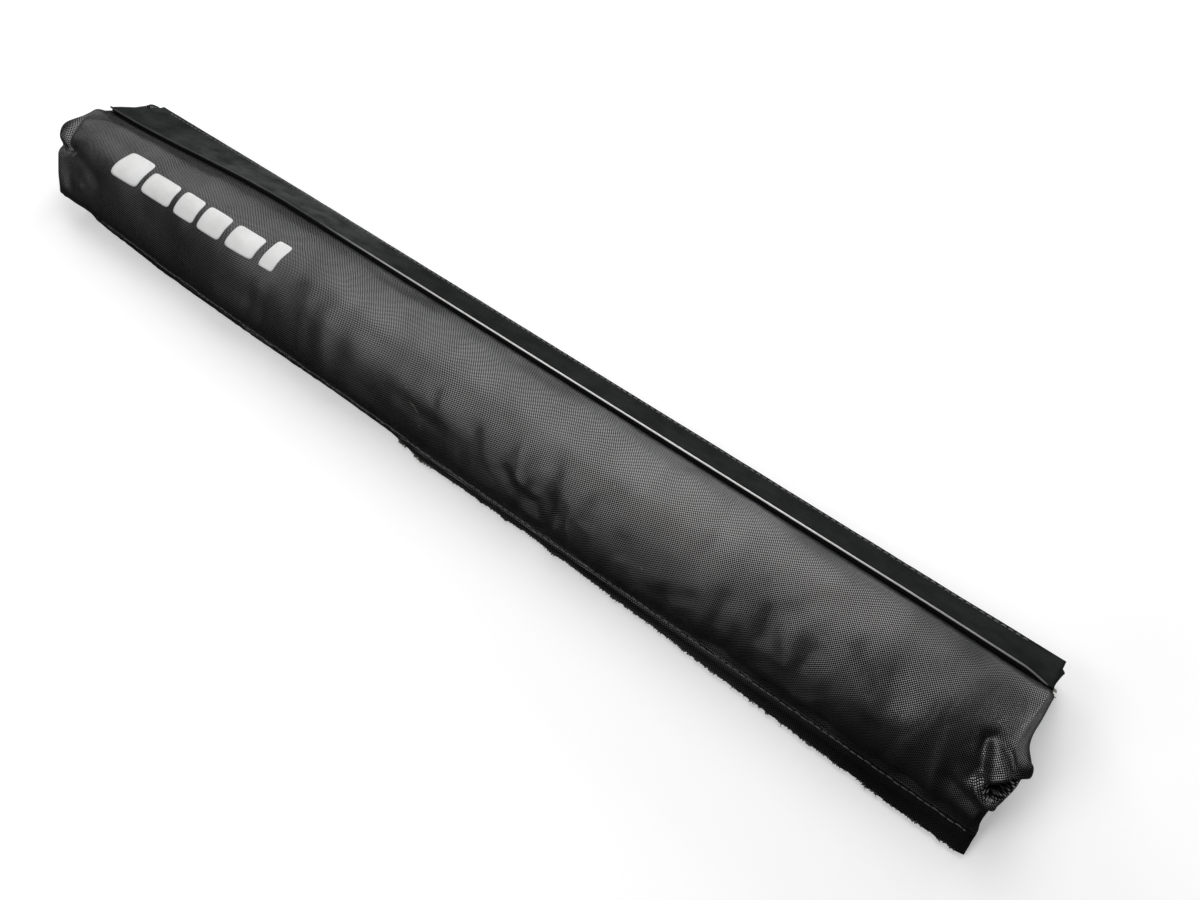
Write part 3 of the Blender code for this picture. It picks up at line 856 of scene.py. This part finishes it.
WOVEN = cloth_material("woven_cloth", (0.0012, 0.0013, 0.0016), (0.016, 0.0162, 0.0165), 0.43)
HOOK = tape_material("hook_tape_back", (0.003, 0.0037, 0.0037), (0.055, 0.058, 0.058), 1.0)
HOOK_EDGE_PAINTED_HIGHLIGHT = highlight_painted_edge_material("hook_tape_edge_painted_highlight")
LOOP = tape_material("loop_tape_pile", (0.006, 0.006, 0.0065), (0.014, 0.014, 0.014))
LINER = liner_material("glossy_liner")
FOAM = foam_material("closed_cell_foam")
THREADS = fibre_material("sewing_thread", (0.07, 0.07, 0.071), (0.18, 0.18, 0.18), 0.5)
FRAY = fibre_material("cut_fibres", (0.012, 0.012, 0.012), (0.05, 0.048, 0.044), 0.7)
BROWN_FRAY = fibre_material("brown_fibres", (0.03, 0.027, 0.018), (0.1, 0.09, 0.06), 0.7)
PALE_FRAY = fibre_material("pale_fibres", (0.16, 0.14, 0.11), (0.36, 0.33, 0.27), 0.7)
INK = print_material("white_ink")


def build_cover():
    uvs = np.zeros(cover.grid.shape[:2] + (2,))
    uvs[..., 0] = cover.places[:, None]
    uvs[..., 1] = cover.columns / MM
    piece = grid_piece("woven_cover", cover.grid, WOVEN, uvs, "top_cover", CLOTH)
    # The painted shade of the cloth, as a value on each point for its material.
    layer = piece.data.attributes.new("painted_shade", "FLOAT", "POINT")
    layer.data.foreach_set("value", cover.painted_shade.ravel().astype(np.float32))


def place(x, s, z):
    return (x - MIDDLE_X, s - MIDDLE_Y, z)


CORNER_CUT = 13 * MM


def front_edge(x, tuck):
    """The front edge of a flat layer, (x, s), set back where the left end is pushed in."""
    s = hem_in(x) - flange_width(x) + tuck
    cut = float(smooth((-CORNER + CORNER_CUT - x) / CORNER_CUT))
    x += float(left_setback(x, np.float64(s), np.float64(0.0)))
    return x + 0.35 * CORNER_CUT * cut, s + 0.4 * CORNER_CUT * cut


def flat_xs(count, reach=0.0):
    xs = np.linspace(-CORNER, CORNER, count + 1)
    return xs + reach * smooth((xs - CORNER + RIGHT_RUN) / RIGHT_RUN)


def build_base():
    count, across = 140, 10
    fronts, backs = flat_xs(count, RIGHT_FLAT_OUT), flat_xs(count)
    grid = np.zeros((count + 1, across + 1, 3))
    for j in range(count + 1):
        x, s = front_edge(float(fronts[j]), BASE_TUCK)
        s += 0.4 * MM * noise.noise((fronts[j] / (7 * MM), 3.3, 0.0))
        low = np.array(place(x, s, BASE_LOW))
        high = np.array(place(float(backs[j]), BACK_IN - 2 * MM, BASE_LOW))
        for i in range(across + 1):
            grid[j, i] = low + (high - low) * i / across
    uvs = grid[:, :, :2] / MM
    piece = grid_piece("base_cloth", grid, WOVEN, uvs, "base_panel", CLOTH, flip=True)


def build_flap():
    count, rises = 180, 16
    trim = (CORNER - FLAP_SETBACK) / CORNER
    fronts = flat_xs(count, RIGHT_FLAT_OUT) * trim
    backs = flat_xs(count) * trim
    grid = []
    uvs = []
    for j in range(count + 1):
        x, s = front_edge(float(fronts[j]), FLAP_TUCK)
        s += 0.5 * MM * noise.noise((fronts[j] / (6 * MM), 6.1, 0.0))
        back_x = float(backs[j])
        section = Section(back_x)
        seam = section.seam_at - SEAM_OVERLAP
        low = section.nearest(np.array((BACK_IN, 0.3 * TAPE_END[1])))
        marks = np.linspace(low, seam, rises + 1)
        face = section.at(marks) + (GAP + CLOTH) * section.outward(marks)
        along = np.full(marks.shape, back_x)
        bulge = field(along, marks, 38 * MM, 14 * MM, 2.0) + 0.3
        bulge += 0.5 * field(along, marks, 9 * MM, 20 * MM, 6.0)
        bulge *= 1.1 * MM * np.sin(np.linspace(0, math.pi, rises + 1))
        face = face + bulge[:, None] * section.outward(marks)
        start, end = np.array((x, s)), np.array((back_x, BACK_OUTSIDE - 3 * MM))
        row = [place(*(start + (end - start) * share), 0.0) for share in (0, 0.2, 0.4, 0.6, 0.8, 1)]
        row.append(place(back_x, BACK_OUTSIDE - 0.9 * MM, 1.4 * MM))
        row += [place(back_x, a, b) for a, b in face]
        grid.append(row)
        steps = np.linalg.norm(np.diff(np.array(row), axis=0), axis=1)
        uvs.append([(back_x / MM, run / MM) for run in np.concatenate([[0], np.cumsum(steps)])])
    grid = np.array(grid)
    piece = grid_piece("flap_cloth", grid, WOVEN, np.array(uvs), "closing_flap", CLOTH, flip=True)


def tape_row(share, first, last, across, lift, rise):
    """Points of a tape across the back slope, with its left corner cut back towards the sewn edge."""
    row = []
    for distance, bead in zip(across, rise):
        part = smooth((distance - first) / (last - first))
        left = -CORNER + FLAP_SETBACK + part * TAPE_CORNER_CUT
        right = CORNER - RIGHT_TAPE_SHORT + TAPE_REACH
        at = float(left + (right - left) * share)
        ridge, tape_end = ridge_line(at)
        slope = unit(tape_end - ridge)
        up = np.array((-slope[1], slope[0]))
        curl = smooth((share - 0.975) / 0.025)
        drop = 2.2 * MM * curl * (1 - part)
        spot = ridge + distance * slope + (lift + bead) * up
        row.append(place(at, spot[0] - 0.5 * drop, spot[1] - drop))
    return row


def tape_grid(count, across, lift, rise_at):
    """The points of a tape from end to end, and their places on it in millimetres."""
    first, last = across[0], across[-1]
    grid = []
    uvs = []
    for j in range(count + 1):
        share = j / count
        grid.append(tape_row(share, first, last, across, lift, rise_at(share)))
        uvs.append([(share * 2 * CORNER / MM, (d - first) / MM) for d in across])
    return np.array(grid), np.array(uvs)


# The rounded front edge of the hook tape, as (distance, share of the bead's height)
TAPE_EDGE = ((0.0, 0.25), (0.35, 0.75), (0.8, 1.0), (1.3, 0.8), (1.8, 0.35), (2.4, 0.0))
SELVEDGE = 0.35 * MM


def build_hook_tape():
    across = [distance * MM for distance, _ in TAPE_EDGE]
    across += list(np.linspace(4 * MM, TAPE_WIDTH - 3 * MM, 8))
    plain = [TAPE_BEAD * bead for _, bead in TAPE_EDGE] + [0.0] * 9 + [SELVEDGE] * 3
    across += [TAPE_WIDTH - 2 * MM, TAPE_WIDTH - 1.2 * MM, TAPE_WIDTH - 0.5 * MM, TAPE_WIDTH]

    def rise_at(share):
        waves = [0.22 * MM * noise.noise((share * 24, distance / (9 * MM), 4.4)) for distance in across]
        return [rise + abs(wave) for rise, wave in zip(plain, waves)]

    grid, uvs = tape_grid(260, across, TAPE_STACK, rise_at)
    piece = grid_piece("hook_strip", grid, HOOK, uvs, "hook_tape", HOOK_TAPE)


def build_loop_tape():
    across = list(np.linspace(2 * MM, TAPE_WIDTH - SEAM_OVERLAP - 1 * MM, 10))
    grid, uvs = tape_grid(160, across, TAPE_GAP + LOOP_TAPE, lambda share: [0.0] * len(across))
    piece = grid_piece("loop_strip", grid, LOOP, uvs, "loop_tape", LOOP_TAPE)


FOAM_LEFT_IN = 18 * MM
FOAM_RIGHT_IN = 20 * MM
FOAM_UNDER = 4.6 * MM


def build_foam():
    """The foam inside, with square-cut ends, held back where the cover is folded in."""
    rows = np.linspace(-CORNER + FOAM_LEFT_IN, CORNER - FOAM_RIGHT_IN, 61)
    grid = []
    for x in rows:
        section = Section(float(x))
        marks = np.linspace(10 * MM, section.length - 12 * MM, 40)
        face = section.at(marks) - FOAM_UNDER * section.outward(marks)
        face[:, 1] = np.maximum(face[:, 1], BASE_TOP + GAP)
        held = smooth((abs(x) - CORNER + 60 * MM) / (40 * MM)) * 0.07
        face = face + held * (SECTION_MIDDLE - face)
        face[0, 1] = face[-1, 1] = BASE_TOP + GAP
        grid.append([place(x, a, b) for a, b in face])
    grid = np.array(grid)
    count, columns = grid.shape[:2]
    index = np.arange(count * columns).reshape(count, columns)
    ahead = np.roll(index, -1, axis=1)
    around = np.stack((index[:-1], index[1:], ahead[1:], ahead[:-1]), -1).reshape(-1, 4)
    faces = around.tolist() + [index[0].tolist(), index[-1][::-1].tolist()]
    piece = mesh_piece("foam_bar", grid.reshape(-1, 3), faces, FOAM, node="foam_core")
    piece.data.set_sharp_from_angle(angle=math.radians(40))


LINER_CLOTH = 0.4 * MM
LINER_LEFT_IN = 6.5 * MM
LINER_RIGHT_IN = 5.5 * MM


def build_liner(name, node, side):
    """A crumpled liner sheet that closes one end, set in behind the cover's lip."""
    ends = Section(side * CORNER)
    marks = np.linspace(4 * MM, ends.length - 3 * MM, 64)
    weight = roll_weight(marks, ends.ridge_at, ends.length)
    lip = lip_share(side, marks, ends.ridge_at)
    ring = rolled(side * CORNER, 0.8, ends.at(marks), weight, np.zeros(len(marks)), lip)
    ring[:, 2] = np.maximum(ring[:, 2] - 1.5 * MM, BASE_TOP + 2 * GAP)
    rises = 40
    grid = np.zeros((len(marks), rises + 1, 3))
    for j, spot in enumerate(ring):
        for i in range(rises + 1):
            share = i / rises
            z = BASE_TOP + GAP + share * (spot[2] - BASE_TOP - GAP)
            crown = math.sin(math.pi * j / (len(marks) - 1)) * math.sin(math.pi * share)
            crumple = noise.noise((spot[1] / (9 * MM), z / (9 * MM), side * 3.0)) * 1.3
            crumple += noise.noise((spot[1] / (4 * MM), z / (4 * MM), side * 7.0)) * 0.5
            s = spot[1] + MIDDLE_Y
            if side > 0:
                held = 15 * math.exp(-(((s - 2 * MM) / (16 * MM)) ** 2))
                x = CORNER - LINER_RIGHT_IN + (3.5 * crown + crumple * crown - held) * MM
            else:
                low = float(left_setback(-CORNER, np.float64(s), np.float64(z)))
                x = -CORNER + LINER_LEFT_IN + low - (1.5 * crown + crumple * crown) * MM
            grid[j, i] = (x - MIDDLE_X, spot[1], z)
    uvs = grid[..., 1:] / MM
    piece = grid_piece(name, grid, LINER, uvs, node, LINER_CLOTH, flip=side > 0)


def on_tape(share, distance, rise, lift=TAPE_STACK):
    """The point at a share of the tape's length and a distance from its front edge, raised by rise."""
    return tape_row(share, 0, TAPE_WIDTH, [distance], lift, [rise])[0]


def build_hook_edge():
    """The rounded edge that runs along the front of the hook tape, made bright by a painted highlight."""
    shares = [0.004 + 0.992 * j / 260 for j in range(261)]
    path = [on_tape(share, 0.3 * MM, 0.25 * MM) for share in shares]
    places = [-CORNER / MM + share * 2 * CORNER / MM for share in shares]
    sides = 8
    points, faces = tubes([path], 0.55 * MM, sides)
    uvs = [(places[k // sides], k % sides) for k in range(len(points))]
    mesh_piece("hook_strip_edge", points, faces, HOOK_EDGE_PAINTED_HIGHLIGHT, uvs)


# The print: a row of plain slanted bars, as (start, width) along x in millimetres
PRINT_BARS = ((-289, 26), (-259, 28), (-226, 19), (-203, 21), (-177, 23), (-148.6, 11.5))
PRINT_LOW = 52.0
PRINT_CLIMB = 0.052
PRINT_TALL = (20.5, 16.5, 16.5, 16.5, 16.5, 20.5)
PRINT_SLANT = 0.1
PRINT_ROUND = 8
PRINT_LIFT = 0.12 * MM
PRINT_THICKNESS = 0.1 * MM


def rounded(a, b):
    """A spot of the square from -1 to 1, drawn in where the square's corners are rounded off."""
    reach = max(abs(a), abs(b))
    share = reach / (abs(a) ** PRINT_ROUND + abs(b) ** PRINT_ROUND) ** (1 / PRINT_ROUND) if reach else 0
    return a * share, b * share


def build_print():
    points = []
    faces = []
    uvs = []
    steps = 18
    for (start, width), tall in zip(PRINT_BARS, PRINT_TALL):
        faces += (len(points) + quads(steps + 1, steps + 1)).tolist()
        for j in range(steps + 1):
            for i in range(steps + 1):
                a, b = rounded(2 * j / steps - 1, 2 * i / steps - 1)
                x = start + (a + 1) / 2 * width
                low = PRINT_LOW + PRINT_CLIMB * (x - PRINT_BARS[0][0])
                d = low + (b + 1) / 2 * tall
                x += PRINT_SLANT * (d - low)
                points.append(cover.on(x * MM, d * MM, PRINT_LIFT))
                uvs.append((x, d))
    piece = mesh_piece("white_print", points, faces, INK, uvs)
    thicken(piece, PRINT_THICKNESS)


def stitch(point_at, start, length, power, sink):
    """One stitch: a short thread that dips into the cloth at both ends."""
    path = []
    for k in range(7):
        share = k / 6
        lift = (STITCH_RISE * math.sin(math.pi * share) ** power - sink) * MM
        path.append(point_at(start + length * share, lift))
    return path


def build_stitches():
    draw = random.Random(5)
    hem = []
    at = -338.0
    while at < 352:
        drift = draw.uniform(-0.15, 0.15)

        def on_hem(x, lift, drift=drift):
            return cover.on(x * MM, drift * MM - HEM_STITCH_SHARE * flange_width(x * MM), lift)

        hem.append(stitch(on_hem, at, STITCH_LENGTH, 0.6, 0.08))
        at += STITCH_PITCH + draw.uniform(-0.2, 0.2)
    fibres_piece("hem_stitches", hem, STITCH_RADIUS, THREADS)

    def along_tape(share, lift):
        return on_tape(share, TAPE_WIDTH - TAPE_STITCH_IN, lift)

    row = [stitch(along_tape, 0.016 + 0.0059 * k, 0.0043, 1, -0.1) for k in range(162)]
    fibres_piece("tape_stitches", row, STITCH_RADIUS, THREADS)


def fibre(draw, start, direction, length, curl):
    """A loose fibre that starts at a point and curls away."""
    path = [np.array(start, float)]
    heading = unit(np.array(direction, float))
    steps = 6
    for _ in range(steps):
        heading = unit(heading + curl * np.array([draw.uniform(-1, 1) for _ in range(3)]))
        path.append(path[-1] + heading * length / steps)
    for spot in path:
        spot[2] = max(spot[2], 0.3 * MM)
    return path


# Where thicker bits of the raw edge stick out, along x in millimetres, and how far right they are brown
BROWN_UP_TO = 10
FRAY_TAGS = (-24, -20, -10, -6, -2, 2, 61, 96, 139, 187, 206, 233, 268, 301, 306, 329)


def build_fray():
    """The flange's raw edge: knotted clumps of cut warp ends and a few long ones."""
    draw = random.Random(41)
    knots = []
    hairs = []
    at = 5.0
    while at < 353:
        width = flange_width(at * MM)
        thick = 0.55 + 0.45 * min(max((at - 40) / 160, 0), 1)
        spread = draw.uniform(0.6, 2.2)
        for _ in range(draw.randint(4, 9)):
            x = min(at + draw.uniform(-spread, spread), 354.0)
            start = cover.on(x * MM, -0.96 * width, draw.uniform(-0.6, -0.1) * MM)
            direction = (draw.uniform(-0.8, 0.8), -1.0, draw.uniform(-0.4, 0.2))
            knots.append(fibre(draw, start, direction, draw.uniform(0.4, 1.5) * thick * MM, 0.35))
        if draw.random() < 0.16:
            start = cover.on(at * MM, -0.96 * width, -0.3 * MM)
            direction = (draw.uniform(-0.6, 0.7), -1.0, draw.uniform(-0.3, 0.2))
            hairs.append(fibre(draw, start, direction, draw.uniform(1.5, 3.2) * thick * MM, 0.45))
        at += draw.uniform(1.2, 4.6)
    brown = []
    for at in FRAY_TAGS:
        for _ in range(16):
            x = at + draw.uniform(-1.7, 1.7)
            start = cover.on(x * MM, -0.95 * flange_width(x * MM), draw.uniform(-0.7, 0.0) * MM)
            direction = (draw.uniform(-0.7, 0.7), -1.0, draw.uniform(-0.3, 0.1))
            tag = fibre(draw, start, direction, draw.uniform(0.7, 1.9) * MM, 0.3)
            (brown if at < BROWN_UP_TO else knots).append(tag)
    fibres_piece("brown_fray", brown, BROWN_RADIUS, BROWN_FRAY)
    fibres_piece("flange_fray", knots, KNOT_RADIUS, FRAY)
    fibres_piece("flange_hairs", hairs, HAIR_RADIUS, FRAY, sides=4)


def build_tape_fray():
    """The pale, frayed end of the tape's backing, at the right."""
    draw = random.Random(8)
    paths = []
    for _ in range(46):
        distance = draw.uniform(-0.5, 6.5) * MM
        share = draw.uniform(0.9965, 1.0)
        start = on_tape(share, distance, draw.uniform(-1.2, 0.2) * MM, TAPE_STACK - HOOK_TAPE)
        direction = (1.0, draw.uniform(-0.5, 0.1), draw.uniform(-0.9, -0.3))
        paths.append(fibre(draw, start, direction, draw.uniform(1.5, 3.6) * MM, 0.3))
    fibres_piece("tape_fray", paths, TAPE_FIBRE_RADIUS, PALE_FRAY)


# Lint and short hairs caught on the cloth: (x, distance from the hem, length)
LINT = ((-19, 48, 1.4), (-7, 35, 9.0), (-8, 26, 3.0), (298, 50, 1.6), (214, 71, 1.2), (118, 66, 1.0),
        (-214, 82, 1.1), (60, 88, 1.2), (-120, 44, 1.3), (262, 84, 1.0), (150, 34, 1.4))


def build_lint():
    draw = random.Random(17)
    paths = []
    for x, d, length in LINT:
        turn = draw.uniform(0, 2 * math.pi)
        path = []
        for k in range(8):
            share = k / 7
            turn += draw.uniform(-0.4, 0.4)
            x += length / 7 * math.cos(turn)
            d += length / 7 * math.sin(turn)
            path.append(cover.on(x * MM, d * MM, (0.15 + 0.35 * math.sin(math.pi * share)) * MM))
        paths.append(path)
    fibres_piece("lint", paths, LINT_RADIUS, PALE_FRAY, sides=4)


build_cover()
build_foam()
build_liner("left_liner", "left_end_panel", -1)
build_liner("right_liner", "right_end_panel", 1)
build_base()
build_flap()
build_hook_tape()
build_hook_edge()
build_loop_tape()
build_print()
build_stitches()
build_fray()
build_tape_fray()
build_lint()

# Camera, from the fit to the photograph: focal length in pixels of a 1200 pixel wide frame, angles in
# degrees and offsets in millimetres
FOCAL, AZIMUTH, ELEVATION, ROLL = 1172.1, 37.47, 55.66, 0.5
OFFSET_X, OFFSET_Y, DISTANCE = -70.07, 19.96, 711.26


def build_camera():
    azimuth, elevation, roll = (math.radians(v) for v in (AZIMUTH, ELEVATION, ROLL))
    back = Vector((
        math.sin(azimuth) * math.cos(elevation),
        -math.cos(azimuth) * math.cos(elevation),
        math.sin(elevation),
    ))
    level = Vector((math.cos(azimuth), math.sin(azimuth), 0))
    rise = back.cross(level)
    right = math.cos(roll) * level + math.sin(roll) * rise
    up = -math.sin(roll) * level + math.cos(roll) * rise
    data = bpy.data.cameras.new("camera")
    data.sensor_width = 36
    data.lens = FOCAL / 1200 * 36
    data.clip_start = 0.01
    camera = bpy.data.objects.new("camera", data)
    turn = Matrix((right, up, back)).transposed().to_4x4()
    spot = (-OFFSET_X * right - OFFSET_Y * up + DISTANCE * back) * MM
    camera.matrix_world = Matrix.Translation(spot) @ turn
    bpy.context.scene.collection.objects.link(camera)
    bpy.context.scene.camera = camera


# The lamps: name, place, aim, size and power
LAMPS = (
    ("overhead", (-0.28, 0.5, 1.1), (0, 0.05, 0), (1.0, 1.8), 6.2),
    ("overhead_right", (-0.02, 0.5, 1.1), (0.18, 0.05, 0), (0.5, 1.0), 4.0),
    ("overhead_left", (-1.35, 0.6, 1.0), (-0.33, 0.03, 0.05), (0.6, 0.5), 4.5),
    ("front_fill", (-0.35, -0.8, 1.15), (0, 0, 0), (0.7, 0.5), 5.6),
    ("front_low", (-0.08, -0.95, 0.42), (0.15, 0, 0.04), (0.4, 0.3), 2.0),
    ("rear_low", (0.05, 1.15, 0.5), (0.15, 0, 0.05), (0.9, 0.5), 5.4),
    ("right_low", (1.4, 0.3, 0.5), (0.3, 0, 0.05), (0.6, 0.5), 1.6),
)


def area_lamp(name, spot, aim, size, power):
    data = bpy.data.lights.new(name, "AREA")
    data.shape = "RECTANGLE"
    data.size, data.size_y = size
    data.energy = power
    lamp = bpy.data.objects.new(name, data)
    direction = Vector(aim) - Vector(spot)
    turn = direction.to_track_quat("-Z", "Y").to_matrix().to_4x4()
    lamp.matrix_world = Matrix.Translation(spot) @ turn
    bpy.context.scene.collection.objects.link(lamp)


def pale_floor():
    """White to the camera, with the object's shadow, and dim to everything else."""
    n = Nodes("pale_floor")
    seen = n.node("ShaderNodeLightPath").outputs["Is Camera Ray"]
    n.set(Base_Color=n.colour(seen, (0.03, 0.03, 0.03), (0.8, 0.8, 0.8)))
    n.set(Roughness=0.9, Specular_IOR_Level=0.0, Emission_Color=(1, 1, 1, 1))
    reach = n.node("ShaderNodeVectorMath", operation="LENGTH")
    n.link(n.coordinates(), reach.inputs[0])
    glow = n.range(reach.outputs["Value"], 0.6, 2.0, 0.3, 1.0)
    n.set(Emission_Strength=n.math("MULTIPLY", seen, glow))
    return n.material


def build_stage():
    mesh = bpy.data.meshes.new("floor")
    reach = 6.0
    corners = [(-reach, -reach, 0), (reach, -reach, 0), (reach, reach, 0), (-reach, reach, 0)]
    mesh.from_pydata(corners, [], [(0, 1, 2, 3)])
    floor = bpy.data.objects.new("floor", mesh)
    floor.location.z = cad_box[0][2] - 0.2 * MM
    mesh.materials.append(pale_floor())
    bpy.context.scene.collection.objects.link(floor)
    world = bpy.data.worlds.new("studio")
    world.use_nodes = True
    tree = world.node_tree
    background = tree.nodes["Background"]
    path = tree.nodes.new("ShaderNodeLightPath")
    strength = tree.nodes.new("ShaderNodeMath")
    strength.operation = "MULTIPLY_ADD"
    tree.links.new(path.outputs["Is Camera Ray"], strength.inputs[0])
    strength.inputs[1].default_value = 0.94
    strength.inputs[2].default_value = 0.06
    background.inputs["Color"].default_value = (1, 1, 1, 1)
    tree.links.new(strength.outputs[0], background.inputs["Strength"])
    bpy.context.scene.world = world
    for lamp in LAMPS:
        area_lamp(*lamp)
    bpy.context.scene.view_settings.view_transform = "Standard"


build_camera()
build_stage()
